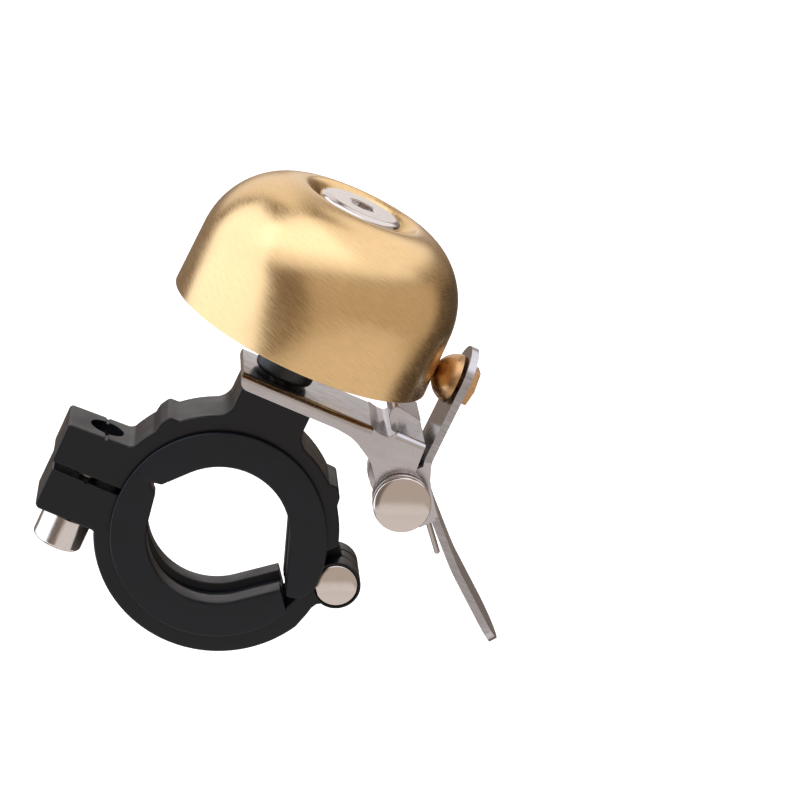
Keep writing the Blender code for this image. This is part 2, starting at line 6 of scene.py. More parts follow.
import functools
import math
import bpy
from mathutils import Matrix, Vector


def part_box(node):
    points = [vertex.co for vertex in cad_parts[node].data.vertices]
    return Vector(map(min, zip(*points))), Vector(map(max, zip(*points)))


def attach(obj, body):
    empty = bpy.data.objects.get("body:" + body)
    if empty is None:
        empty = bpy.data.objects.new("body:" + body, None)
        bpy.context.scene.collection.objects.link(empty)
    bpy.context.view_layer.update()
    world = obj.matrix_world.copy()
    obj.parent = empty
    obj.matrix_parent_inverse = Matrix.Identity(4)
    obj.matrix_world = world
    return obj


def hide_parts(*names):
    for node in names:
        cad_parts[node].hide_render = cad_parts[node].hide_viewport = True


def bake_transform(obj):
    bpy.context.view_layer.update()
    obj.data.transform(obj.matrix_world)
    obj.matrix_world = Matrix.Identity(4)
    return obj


bl_info = {
    "name": "Bicycle Bell",
    "version": (1, 0, 0),
    "blender": (4, 5, 0),
    "location": "View3D > Sidebar > Bell",
    "description": "Builds a brass bicycle bell with its thumb lever and handlebar clamp",
    "category": "Add Mesh",
}

import bmesh
import bpy
from bpy.props import FloatProperty, FloatVectorProperty, IntProperty, PointerProperty
from mathutils import Matrix, Vector

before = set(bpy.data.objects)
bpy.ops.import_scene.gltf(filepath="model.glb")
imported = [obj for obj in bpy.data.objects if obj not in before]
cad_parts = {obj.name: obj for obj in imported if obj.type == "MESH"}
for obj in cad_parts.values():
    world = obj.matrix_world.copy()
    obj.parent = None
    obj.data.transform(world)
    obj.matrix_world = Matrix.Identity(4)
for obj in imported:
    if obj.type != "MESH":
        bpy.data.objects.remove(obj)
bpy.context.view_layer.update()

FIXED, LEVER, DOOR, BOLT = "bell_and_clamp", "lever", "lower_clamp", "bolt"


def middle(node):
    low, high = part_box(node)
    return (low + high) / 2


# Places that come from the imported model.
DOME_LOW, DOME_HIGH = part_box("bell_dome")
DOME_X = middle("bell_dome").x
RIM_RADIUS = DOME_HIGH.x - DOME_X
SCREW_LOW, SCREW_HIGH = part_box("dome_screw")
SCREW_HEAD_RADIUS = SCREW_HIGH.x - DOME_X
WASHER_LOW, WASHER_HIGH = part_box("head_washer")
PIVOT = middle("pivot_rivet")
HINGE = middle("hinge_pin")
CLAMP_LOW, CLAMP_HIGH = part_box("clamp_upper")
DOOR_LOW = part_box("clamp_lower")[0]
CLAMP_HALF = CLAMP_HIGH.y
BOLT_LOW, BOLT_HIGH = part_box("clamp_bolt")
BOLT_X = middle("clamp_bolt").x
SHIM_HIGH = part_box("bar_shim")[1]
BRACKET_LOW, BRACKET_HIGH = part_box("bracket")
LEVER_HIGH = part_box("striker_lever")[1]
BALL_LOW, BALL_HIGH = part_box("hammer_ball")
NUT_LOW, NUT_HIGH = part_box("hammer_nut")

# Places on the castings that the boxes don't give, as (x, z).
UPPER_CENTRE = (-0.0003, 0.0)
UPPER_RADIUS = 0.0192
LOWER_CENTRE = (0.0003, -0.0005)
LOWER_RADIUS = 0.0197
BORE_RADIUS = 0.0159
WEB_INNER = (0.0166, 0.00356)
WEB_OUTER = (0.01805, 0.00512)
LUG_ROOT = (-0.0182, 0.0074)
SPLIT_UPPER_Z = 0.00034
SPLIT_LOWER_Z = -0.00065
LUG_BOTTOM_Z = -0.00765
SADDLE_LEFT_X, SADDLE_RIGHT_X = -0.0065, 0.0052
SADDLE_FOOT_Z = 0.0183
SADDLE_FILLET = 0.0028
KNUCKLE_RADIUS = 0.0039
KNUCKLE_SPLIT = 0.00145
KNUCKLE_END = 0.0041
COLLAR_END = 0.0049

# Radii of the holes, each a little wider than what goes through it.
SCREW_HOLE, PIVOT_HOLE, HINGE_HOLE, BOLT_HOLE = 0.0022, 0.0023, 0.0018, 0.00275
PIVOT_AXIS, HINGE_AXIS = (PIVOT.x, 0, PIVOT.z), (HINGE.x, 0, HINGE.z)

# The bracket's side view.
FLOOR_Z, STEP_Z, TROUGH_Z, FLANGE_Z = 0.0260, 0.0269, 0.0256, 0.0236
STEP_X = 0.0182
BRACKET_RIGHT_X = 0.0232

# The lever's side view.
ARM_X = 0.02555
TIP = (0.0490, 0.0001)
EAR_RADIUS = 0.0044


def linear(hex_colour):
    """An sRGB hex colour as linear red, green and blue."""
    parts = [int(hex_colour[i:i + 2], 16) / 255 for i in (1, 3, 5)]
    return tuple(c / 12.92 if c <= 0.04045 else ((c + 0.055) / 1.055) ** 2.4 for c in parts)


def length(name, description, default):
    """A size that shows in the scene's unit."""
    return FloatProperty(name=name, description=description, default=default, unit="LENGTH")


def colour(name, description, hex_colour):
    return FloatVectorProperty(name=name, description=description, default=linear(hex_colour), subtype="COLOR")


class BellSizes(bpy.types.PropertyGroup):
    """Sizes that can change without moving anything that fits or turns."""

    dome_wall: length("Dome wall", "Thickness of the spun brass", 0.0011)
    dome_shoulder: length("Dome shoulder", "Height where the straight side starts to curve in", 0.0430)
    crown_radius: length("Crown radius", "Radius at which the shoulder's curve would lie flat", 0.0085)
    lip_radius: length("Lip radius", "Radius at which the dome starts to dip to its seat", 0.0096)
    seat_radius: length("Seat radius", "Inside of the sunk seat for the screw's head", 0.0070)
    seat_depth: length("Seat depth", "How far the seat is sunk below the crown", 0.0026)
    casting_edge: length("Casting edge", "Radius on the rims of the clamp's castings", 0.0004)
    sheet: length("Bracket sheet", "Thickness of the bracket's steel", 0.0012)
    lever_sheet: length("Lever sheet", "Thickness of the lever's steel", 0.00125)
    sheet_bend: length("Sheet bend", "Outside radius of the folds in the sheet", 0.0011)
    wire: length("Spring wire", "Radius of the spring's wire", 0.00045)
    coil_turns: IntProperty(name="Spring turns", description="Turns of the torsion spring", default=5)
    thread_pitch: length("Thread pitch", "Distance between the bolt's thread crests", 0.0008)
    turn_steps: IntProperty(name="Turned steps", description="Faces round a turned piece", default=144)


class BellColours(bpy.types.PropertyGroup):
    """Colours of the finishes."""

    dome_brass: colour("Dome brass", "Brushed brass of the dome", "#e0bf8c")
    striker_brass: colour("Striker brass", "Warmer brass of the striker and its nut", "#c49c70")
    steel: colour("Stainless steel", "Satin sheet of the bracket and the lever", "#c4c3c8")
    nickel: colour("Nickel plate", "Polished rivets, washers and crown screw", "#cec7c3")
    zinc: colour("Zinc plate", "Bright clamp screw", "#d6d2d0")
    wire: colour("Spring wire", "Drawn wire of the torsion spring", "#b9b0ab")
    coat: colour("Black coat", "Semi-matt coat on the clamp's castings", "#0c0f14")
    nylon: colour("Black nylon", "Moulded nylon of the shim", "#0b1018")
    rubber: colour("Black rubber", "Post, bush and washer under the dome", "#0e0e0f")
    floor: colour("Floor", "Plain pale floor", "#f4f4f4")


# ----- Mesh helpers -----

def sizes():
    return bpy.context.scene.bell_sizes


def colours():
    return bpy.context.scene.bell_colours


def polar(radius, degrees, centre=(0.0, 0.0)):
    """The point (x, z) at this radius and angle, counter-clockwise from +X."""
    turn = math.radians(degrees)
    return centre[0] + radius * math.cos(turn), centre[1] + radius * math.sin(turn)


class Outline:
    """A line in the XZ plane, drawn point by point: straight runs, and arcs spun about a centre."""

    def __init__(self, x, z):
        self.made = bmesh.new()
        self.first = self.last = self.made.verts.new((x, 0.0, z))
        self.corners = []

    def line(self, x, z, radius=0.0):
        """A straight run to a point, whose corner is rounded later if a radius is given."""
        point = self.made.verts.new((x, 0.0, z))
        self.made.edges.new((self.last, point))
        self.last = point
        if radius:
            self.corners.append((point, radius))
        return self

    def lines(self, points):
        for point in points:
            self.line(*point)
        return self

    def arc(self, centre, degrees, steps):
        """An arc from the last point, counter-clockwise for a positive angle."""
        spun = bmesh.ops.spin(self.made, geom=[self.last], cent=(centre[0], 0.0, centre[1]),
                              axis=(0, -1, 0), angle=math.radians(degrees), steps=steps)
        self.last = spun["geom_last"][0]
        return self

    def round_corners(self, segments=6):
        """Each corner's distance along its edges is worked out from its radius and its angle."""
        for point, radius in self.corners:
            ends = [edge.other_vert(point).co - point.co for edge in point.link_edges]
            reach = radius / math.tan(ends[0].angle(ends[1]) / 2)
            bmesh.ops.bevel(self.made, geom=[point], offset=reach, offset_type="OFFSET", segments=segments,
                            profile=0.5, affect="VERTICES", clamp_overlap=False, material=-1)
        self.corners = []

    def closed(self, segments=6):
        """The filled outline, as a bmesh with one face."""
        self.made.edges.new((self.last, self.first))
        self.round_corners(segments)
        bmesh.ops.contextual_create(self.made, geom=self.made.edges[:])
        return self.made

    def open(self, segments=6):
        """The bare line, as a bmesh."""
        self.round_corners(segments)
        return self.made


def soften(made, edges, width, segments=3):
    """Rounds edges by a width."""
    bmesh.ops.bevel(made, geom=edges, offset=width, offset_type="OFFSET", segments=segments, profile=0.5,
                    affect="EDGES", clamp_overlap=False, material=-1)


def sharp_edges(made, degrees=50.0, where=None):
    """The edges that turn by more than an angle, in one region if a test of a point is given."""
    found = []
    for edge in made.edges:
        if len(edge.link_faces) == 2 and edge.calc_face_angle(0.0) > math.radians(degrees):
            if where is None or all(where(v.co) for v in edge.verts):
                found.append(edge)
    return found


def lift(made, along):
    """Extrudes every face, or every bare edge, by a vector."""
    if made.faces:
        grown = bmesh.ops.extrude_face_region(made, geom=made.faces[:])["geom"]
    else:
        grown = bmesh.ops.extrude_edge_only(made, edges=made.edges[:])["geom"]
    bmesh.ops.translate(made, verts=[v for v in grown if isinstance(v, bmesh.types.BMVert)], vec=along)


def slab(filled, y_from, y_to, edge=0.0, segments=3):
    """A solid from a filled outline, between two places along Y, with its two rims rounded."""
    bmesh.ops.translate(filled, verts=filled.verts, vec=(0.0, y_from, 0.0))
    lift(filled, (0.0, y_to - y_from, 0.0))
    bmesh.ops.recalc_face_normals(filled, faces=filled.faces)
    if edge:
        rims = [e for e in filled.edges if abs(e.verts[0].co.y - e.verts[1].co.y) < 1e-7]
        soften(filled, rims, edge, segments)
    return filled


AXES = {"Z": Matrix.Identity(4), "Y": Matrix.Rotation(math.radians(-90), 4, "X"),
        "X": Matrix.Rotation(math.radians(90), 4, "Y")}


def turned(profile, centre, axis="Z", steps=None):
    """A solid spun from a bmesh line of (radius, height) drawn in the XZ plane."""
    bmesh.ops.spin(profile, geom=profile.verts[:] + profile.edges[:], cent=(0, 0, 0), axis=(0, 0, 1),
                   angle=math.tau, steps=steps or sizes().turn_steps, use_merge=True)
    bmesh.ops.remove_doubles(profile, verts=profile.verts, dist=1e-7)
    bmesh.ops.dissolve_degenerate(profile, edges=profile.edges, dist=1e-8)
    bmesh.ops.transform(profile, matrix=Matrix.Translation(centre) @ AXES[axis], verts=profile.verts)
    bmesh.ops.recalc_face_normals(profile, faces=profile.faces)
    return profile


def washer(inner, outer, low, high, edge, centre, axis="Z", steps=96, segments=4):
    """A turned ring with a square hole and rounded outer edges."""
    ring = Outline(inner, low)
    ring.lines([(outer, low, edge), (outer, high, edge), (inner, high)])
    ring.made.edges.new((ring.last, ring.first))
    return turned(ring.open(segments), centre, axis, steps)


def rod(radius, low, high, centre, axis="Z", steps=64):
    """A plain cylinder between two heights from the centre, used to cut and to join."""
    made = bmesh.new()
    bmesh.ops.create_cone(made, cap_ends=True, segments=steps, radius1=radius, radius2=radius, depth=high - low)
    bmesh.ops.translate(made, verts=made.verts, vec=(0, 0, (low + high) / 2))
    bmesh.ops.transform(made, matrix=Matrix.Translation(centre) @ AXES[axis], verts=made.verts)
    bmesh.ops.recalc_face_normals(made, faces=made.faces)
    return made


def combine(made, other, operation="DIFFERENCE"):
    """Cuts the first shape with the second, or joins them. The second is used up."""
    pair = []
    for shape in (made, other):
        mesh = bpy.data.meshes.new("working shape")
        shape.to_mesh(mesh)
        pair.append(bpy.data.objects.new("working shape", mesh))
        bpy.context.scene.collection.objects.link(pair[-1])
    step = pair[0].modifiers.new("combine", "BOOLEAN")
    step.operation = operation
    step.object = pair[1]
    step.solver = "EXACT"
    made.clear()
    made.from_object(pair[0], bpy.context.evaluated_depsgraph_get())
    other.free()
    for obj in pair:
        mesh = obj.data
        bpy.data.objects.remove(obj)
        bpy.data.meshes.remove(mesh)
    bmesh.ops.remove_doubles(made, verts=made.verts, dist=2e-7)
    return made


def piece(name, made, body, finishes, nodes, sharp=35.0, even=False):
    """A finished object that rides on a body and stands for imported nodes."""
    mesh = bpy.data.meshes.new(name)
    made.to_mesh(mesh)
    made.free()
    mesh.shade_smooth()
    mesh.set_sharp_from_angle(angle=math.radians(sharp))
    for finish in finishes if isinstance(finishes, list) else [finishes]:
        mesh.materials.append(finish)
    obj = bpy.data.objects.new(name, mesh)
    bpy.context.scene.collection.objects.link(obj)
    if even:
        shading = obj.modifiers.new("even shading", "WEIGHTED_NORMAL")
        shading.keep_sharp = True
    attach(obj, body)
    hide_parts(*nodes)
    return obj


# ----- Finishes -----

def add(tree, kind, inputs=None, **settings):
    """Adds a node, sets its options, and sets or links its inputs, given by name or by place."""
    made = tree.nodes.new(kind)
    for key, value in settings.items():
        setattr(made, key, value)
    for key, value in (inputs or {}).items():
        if isinstance(value, bpy.types.NodeSocket):
            tree.links.new(value, made.inputs[key])
        else:
            made.inputs[key].default_value = value
    return made


def new_finish(name, colour, metallic, roughness):
    """A material with its Principled shader ready, and its tree."""
    material = bpy.data.materials.new(name)
    material.use_nodes = True
    tree = material.node_tree
    shader = tree.nodes["Principled BSDF"]
    shader.inputs["Base Color"].default_value = (*colour, 1.0)
    shader.inputs["Metallic"].default_value = metallic
    shader.inputs["Roughness"].default_value = roughness
    return material, tree, shader


def grain(tree, scale, turn=(0, 0, 0), detail=3.0, roughness=0.5):
    """Noise in Object coordinates, turned and then scaled. A scale of 1000 / n makes one grain n millimetres."""
    place = add(tree, "ShaderNodeTexCoord").outputs["Object"]
    moved = add(tree, "ShaderNodeMapping", {"Vector": place, "Rotation": [math.radians(t) for t in turn],
                                            "Scale": scale}).outputs[0]
    return add(tree, "ShaderNodeTexNoise", {"Vector": moved, "Scale": 1.0, "Detail": detail,
                                            "Roughness": roughness}).outputs["Fac"]


def dress(tree, shader, tone=None, rough=None, relief=None):
    """Lets patterns set a finish's look. Each is given as a pattern and the values at its ends: the tone's are
    factors of the colour, and the roughness's may be followed by the pattern's own ends. A relief is a pattern,
    its strength and its depth in metres."""
    if tone:
        pattern, dark, light = tone
        shade = add(tree, "ShaderNodeMapRange", {"Value": pattern, "From Min": 0.3, "From Max": 0.7,
                                                 "To Min": dark, "To Max": light}).outputs["Result"]
        grey = add(tree, "ShaderNodeCombineColor", {"Red": shade, "Green": shade, "Blue": shade}).outputs[0]
        plain = shader.inputs["Base Color"].default_value[:]
        mixed = add(tree, "ShaderNodeMix", {"Factor": 1.0, "A": plain, "B": grey},
                    data_type="RGBA", blend_type="MULTIPLY")
        tree.links.new(mixed.outputs["Result"], shader.inputs["Base Color"])
    if rough:
        pattern, low, high, start, end = (*rough, 0.3, 0.7)[:5]
        polish = add(tree, "ShaderNodeMapRange", {"Value": pattern, "From Min": start, "From Max": end,
                                                  "To Min": low, "To Max": high})
        tree.links.new(polish.outputs["Result"], shader.inputs["Roughness"])
    if relief:
        pattern, strength, depth = relief
        bump = add(tree, "ShaderNodeBump", {"Height": pattern, "Strength": strength, "Distance": depth})
        tree.links.new(bump.outputs[0], shader.inputs["Normal"])


def lathe_streaks(tree, across, along, slant):
    """Short streaks round the dome's axis, at a slant. Two copies hide each other's seam."""
    place = add(tree, "ShaderNodeTexCoord").outputs["Object"]
    centred = add(tree, "ShaderNodeMapping", {"Vector": place, "Location": (-DOME_X, 0, 0)}).outputs[0]
    parts = add(tree, "ShaderNodeSeparateXYZ", {"Vector": centred}).outputs
    squares = [add(tree, "ShaderNodeMath", {0: parts[k], 1: parts[k]}, operation="MULTIPLY").outputs[0] for k in "XY"]
    square = add(tree, "ShaderNodeMath", {0: squares[0], 1: squares[1]}, operation="ADD").outputs[0]
    radius = add(tree, "ShaderNodeMath", {0: square, 1: 0.5}, operation="POWER").outputs[0]
    height = add(tree, "ShaderNodeMath", {0: parts["Z"], 1: radius}, operation="SUBTRACT").outputs[0]
    drift = RIM_RADIUS * math.tan(math.radians(slant))
    copies = []
    for side in (-1.0, 1.0):
        facing = add(tree, "ShaderNodeMath", {0: parts["Y"], 1: side}, operation="MULTIPLY").outputs[0]
        angle = add(tree, "ShaderNodeMath", {0: parts["X"], 1: facing}, operation="ARCTAN2").outputs[0]
        lean = add(tree, "ShaderNodeMath", {0: angle, 1: side * drift, 2: height},
                   operation="MULTIPLY_ADD").outputs[0]
        u = add(tree, "ShaderNodeMath", {0: angle, 1: RIM_RADIUS / along}, operation="MULTIPLY").outputs[0]
        v = add(tree, "ShaderNodeMath", {0: lean, 1: 1 / across}, operation="MULTIPLY").outputs[0]
        spot = add(tree, "ShaderNodeCombineXYZ", {"X": u, "Y": v, "Z": side * 7.0}).outputs[0]
        copies.append(add(tree, "ShaderNodeTexNoise", {"Vector": spot, "Scale": 1.0, "Detail": 3.0,
                                                       "Roughness": 0.5}).outputs["Fac"])
    blend = add(tree, "ShaderNodeMapRange", {"Value": parts["Y"], "From Min": -0.003, "From Max": 0.003})
    return add(tree, "ShaderNodeMix", {"Factor": blend.outputs["Result"], "A": copies[0], "B": copies[1]},
               data_type="FLOAT").outputs[0]


@functools.cache
def brushed_brass():
    """Lacquered cartridge brass, brushed on a spinning mandrel: short slanted hairlines and a soft wide gloss."""
    material, tree, shader = new_finish("brushed lacquered brass", colours().dome_brass, 1.0, 0.3)
    streaks = lathe_streaks(tree, 0.00028, 0.0022, -18.0)  # real hairlines are finer: drawn to show
    broad = grain(tree, (160, 160, 160), detail=2.0)
    wavy = add(tree, "ShaderNodeMath", {0: streaks, 1: broad}, operation="ADD").outputs[0]
    dress(tree, shader, (streaks, 0.90, 1.06), (wavy, 0.21, 0.32, 0.7, 1.3), (streaks, 0.22, 0.00003))
    return material


@functools.cache
def striker_brass():
    """Turned brass, tumbled: warm, satin, with faint pits."""
    material, tree, shader = new_finish("tumbled brass", colours().striker_brass, 1.0, 0.3)
    pits = grain(tree, (1800, 1800, 1800))
    dress(tree, shader, (pits, 0.86, 1.06), (pits, 0.24, 0.36), (pits, 0.2, 0.00003))
    return material


@functools.cache
def satin_steel():
    """Rolled stainless sheet, tumbled after stamping: satin, with fine scratches and cloudy patches."""
    material, tree, shader = new_finish("tumbled stainless sheet", colours().steel, 1.0, 0.3)
    scratches = grain(tree, (400, 1500, 3500), turn=(0, 20, 0))
    clouds = grain(tree, (260, 260, 260))
    both = add(tree, "ShaderNodeMath", {0: scratches, 1: clouds}, operation="ADD").outputs[0]
    dress(tree, shader, (clouds, 0.90, 1.04), (both, 0.16, 0.30, 0.7, 1.3), (scratches, 0.12, 0.00002))
    return material


def sheared_steel(name, lean):
    """The sheet's cut edge: a burnished band and a torn one, with drag lines across the thickness."""
    material, tree, shader = new_finish(name, colours().steel, 1.0, 0.4)
    drags = grain(tree, (500, 500, 3600), turn=(0, lean, 0), roughness=0.6)
    dress(tree, shader, (drags, 0.62, 1.0), (drags, 0.34, 0.55), (drags, 0.5, 0.00005))
    return material


@functools.cache
def polished_nickel():
    """Nickel plate on steel: a clear mirror with a warm cast and a few fine handling marks."""
    material, tree, shader = new_finish("polished nickel plate", colours().nickel, 1.0, 0.1)
    marks = grain(tree, (900, 900, 4200), turn=(10, 35, 0), detail=4.0, roughness=0.7)
    dress(tree, shader, rough=(marks, 0.05, 0.2, 0.3, 0.75), relief=(marks, 0.05, 0.00002))
    return material


@functools.cache
def zinc_plate():
    """Bright zinc on a cold-headed screw: mirror-like, with light scratches along it."""
    material, tree, shader = new_finish("bright zinc plate", colours().zinc, 1.0, 0.16)
    lines = grain(tree, (3200, 3200, 500), roughness=0.6)
    dress(tree, shader, (lines, 0.88, 1.03), (lines, 0.1, 0.24))
    return material


@functools.cache
def spring_wire():
    """Drawn spring wire, lightly oiled: an even, soft gloss."""
    material, tree, shader = new_finish("drawn spring wire", colours().wire, 1.0, 0.26)
    dress(tree, shader, rough=(grain(tree, (2500, 2500, 2500)), 0.2, 0.34))
    return material


@functools.cache
def black_coat():
    """Semi-matt black powder coat on cast aluminium: a fine orange peel and a low even gloss."""
    material, tree, shader = new_finish("semi-matt black powder coat", colours().coat, 0.0, 0.42)
    shader.inputs["Specular IOR Level"].default_value = 0.3
    peel = grain(tree, (2600, 2600, 2600), detail=2.0)
    clouds = grain(tree, (220, 220, 220), detail=2.0)
    dress(tree, shader, (clouds, 0.9, 1.1), (clouds, 0.28, 0.42), (peel, 0.2, 0.00002))
    return material


@functools.cache
def black_nylon():
    """Injection-moulded nylon: blue-black, with flow marks and a soft skin gloss."""
    material, tree, shader = new_finish("moulded black nylon", colours().nylon, 0.0, 0.36)
    shader.inputs["Specular IOR Level"].default_value = 0.3
    flow = grain(tree, (240, 500, 240))
    skin = grain(tree, (3000, 3000, 3000), detail=2.0)
    dress(tree, shader, (flow, 0.8, 1.2), (flow, 0.3, 0.46), (skin, 0.12, 0.00002))
    return material


@functools.cache
def black_rubber():
    """Moulded rubber: dull, with a little bloom."""
    material, tree, shader = new_finish("moulded black rubber", colours().rubber, 0.0, 0.4)
    bloom = grain(tree, (900, 900, 900))
    dress(tree, shader, (bloom, 0.8, 1.3), (bloom, 0.32, 0.5))
    return material


# ----- Pieces -----

class BELL_OT_dome(bpy.types.Operator):
    """Spin the brass dome with its sunk seat"""

    bl_idname = "bell.dome"
    bl_label = "Dome"

    def execute(self, context):
        size = sizes()
        crown, shoulder = DOME_HIGH.z, size.dome_shoulder
        side = RIM_RADIUS - 0.0003
        seat = crown - size.seat_depth
        line = Outline(RIM_RADIUS, DOME_LOW.z)
        steps = 20
        to_lip = math.acos((size.lip_radius - size.crown_radius) / (side - size.crown_radius))
        for i in range(steps + 1):
            turn = to_lip * i / steps
            line.line(size.crown_radius + (side - size.crown_radius) * math.cos(turn),
                      shoulder + (crown - shoulder) * math.sin(turn))
        lip = shoulder + (crown - shoulder) * math.sin(to_lip)
        for i in range(1, 9):
            across = size.lip_radius + (size.seat_radius - size.lip_radius) * i / 9
            line.line(across, lip + (seat - lip) * (i / 9) ** 1.7)
        line.line(size.seat_radius, seat, 0.0003)
        line.line(0.0023, seat)
        made = turned(line.open(), (DOME_X, 0, 0), steps=192)
        bmesh.ops.solidify(made, geom=made.faces[:], thickness=size.dome_wall)
        bmesh.ops.remove_doubles(made, verts=made.verts, dist=1e-7)
        rim = sharp_edges(made, 50.0, lambda p: p.z < DOME_LOW.z + 0.0002)
        soften(made, rim, 0.0002, 2)
        piece("dome_shell", made, FIXED, brushed_brass(), ["bell_dome"], 40.0)
        return {"FINISHED"}


class BELL_OT_crown_screw(bpy.types.Operator):
    """Turn the screw that holds the dome, with its wide socket head, and the washer under it"""

    bl_idname = "bell.crown_screw"
    bl_label = "Crown screw"

    def execute(self, context):
        top = SCREW_HIGH.z + 0.0003
        low = WASHER_HIGH.z
        shank = 0.0019
        line = Outline(0.0, SCREW_LOW.z)
        line.lines([(shank - 0.0003, SCREW_LOW.z), (shank, SCREW_LOW.z + 0.0003), (shank, low),
                    (SCREW_HEAD_RADIUS - 0.0006, low, 0.0003), (SCREW_HEAD_RADIUS, low + 0.0009, 0.0006),
                    (SCREW_HEAD_RADIUS - 0.0004, top - 0.0003, 0.0005), (SCREW_HEAD_RADIUS - 0.0012, top, 0.0007),
                    (0.0026, top), (0.0, top)])
        made = turned(line.open(), (DOME_X, 0, 0))
        combine(made, rod(0.0020, top - 0.0008, top + 0.001, (DOME_X, 0, 0), steps=6))
        axis = Vector((DOME_X, 0))
        socket = sharp_edges(made, 50.0, lambda p: p.z > top - 0.0001 and (p.xy - axis).length < 0.0022)
        soften(made, socket, 0.00012, 2)
        piece("crown_screw", made, FIXED, polished_nickel(), ["dome_screw"], 40.0, even=True)
        made = washer(SCREW_HOLE, 0.0060, WASHER_LOW.z, WASHER_HIGH.z, 0.0001, (DOME_X, 0, 0), segments=3)
        piece("crown_washer", made, FIXED, black_rubber(), ["head_washer"], 40.0)
        return {"FINISHED"}


class BELL_OT_post(bpy.types.Operator):
    """Turn the rubber post and the bush that carry the dome"""

    bl_idname = "bell.post"
    bl_label = "Post and bush"

    def execute(self, context):
        finish = black_rubber()
        for name, node, edge in (("rubber_post", "dome_post", 0.0009), ("post_bush", "dome_bush", 0.0003)):
            low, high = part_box(node)
            made = washer(SCREW_HOLE, high.x - DOME_X, low.z, high.z, edge, (DOME_X, 0, 0), segments=6)
            piece(name, made, FIXED, finish, [node], 40.0)
        return {"FINISHED"}


def upper_outline():
    """The upper casting's side view: the bore, two ribs, the saddle between them, and the lug."""
    split = math.degrees(math.asin(SPLIT_UPPER_Z / BORE_RADIUS))
    outline = Outline(*polar(BORE_RADIUS, 180 - split))
    outline.arc((0, 0), -(180 - split - 12.0), 84)
    outline.line(*WEB_INNER, 0.0005).line(*WEB_OUTER, 0.0005)
    edge, top = UPPER_RADIUS, UPPER_RADIUS + 0.0011
    outline.line(*polar(edge, 17.0, UPPER_CENTRE)).arc(UPPER_CENTRE, 19.0, 12)
    outline.line(*polar(edge + 0.00075, 39.8, UPPER_CENTRE), 0.0010)
    outline.line(*polar(top, 44.6, UPPER_CENTRE), 0.0007)
    outline.line(*polar(edge, 48.2, UPPER_CENTRE), 0.0003).arc(UPPER_CENTRE, 18.8, 12)
    outline.line(SADDLE_RIGHT_X, SADDLE_FOOT_Z, SADDLE_FILLET).line(SADDLE_RIGHT_X, CLAMP_HIGH.z, 0.0004)
    outline.line(SADDLE_LEFT_X, CLAMP_HIGH.z, 0.0004).line(SADDLE_LEFT_X, SADDLE_FOOT_Z, SADDLE_FILLET)
    outline.line(*polar(edge, 114.0, UPPER_CENTRE)).arc(UPPER_CENTRE, 16.8, 12)
    outline.line(*polar(edge, 131.8, UPPER_CENTRE), 0.0004)
    outline.line(*polar(top, 135.4, UPPER_CENTRE), 0.0007)
    outline.line(*polar(edge + 0.00075, 140.2, UPPER_CENTRE), 0.0010)
    outline.line(*polar(edge, 144.0, UPPER_CENTRE)).arc(UPPER_CENTRE, 11.5, 8)
    outline.line(*LUG_ROOT, 0.0012).line(CLAMP_LOW.x, 0.0070, 0.0006)
    outline.line(CLAMP_LOW.x, SPLIT_UPPER_Z, 0.0005)
    return outline.closed(5)


class BELL_OT_upper_casting(bpy.types.Operator):
    """Cast the clamp's upper half: saddle, ribs, tapped lug and middle knuckle"""

    bl_idname = "bell.upper_casting"
    bl_label = "Upper casting"

    def execute(self, context):
        edge = sizes().casting_edge
        made = slab(upper_outline(), -CLAMP_HALF, CLAMP_HALF, edge)
        hinge = (HINGE.x, HINGE.z)
        web = Outline(WEB_INNER[0] - 0.0003, WEB_INNER[1] - 0.0006)
        web.line(WEB_OUTER[0], WEB_OUTER[1] + 0.0003).line(*polar(KNUCKLE_RADIUS, 98.0, hinge))
        web.arc(hinge, -288.0, 60)
        combine(made, slab(web.closed(), -KNUCKLE_SPLIT, KNUCKLE_SPLIT, 0.0002, 2), "UNION")
        combine(made, rod(HINGE_HOLE, -0.003, 0.003, HINGE_AXIS, "Y"))
        combine(made, rod(BOLT_HOLE, -0.001, 0.010, (BOLT_X, 0, 0)))
        combine(made, rod(SCREW_HOLE, 0.018, 0.026, (DOME_X, 0, 0)))
        combine(made, rod(0.00032, -CLAMP_HALF - 0.001, CLAMP_HALF + 0.001, (BOLT_X, 0, 0.00722), "Y", 12))
        piece("upper_casting", made, FIXED, black_coat(), ["clamp_upper"], 32.0, even=True)
        return {"FINISHED"}


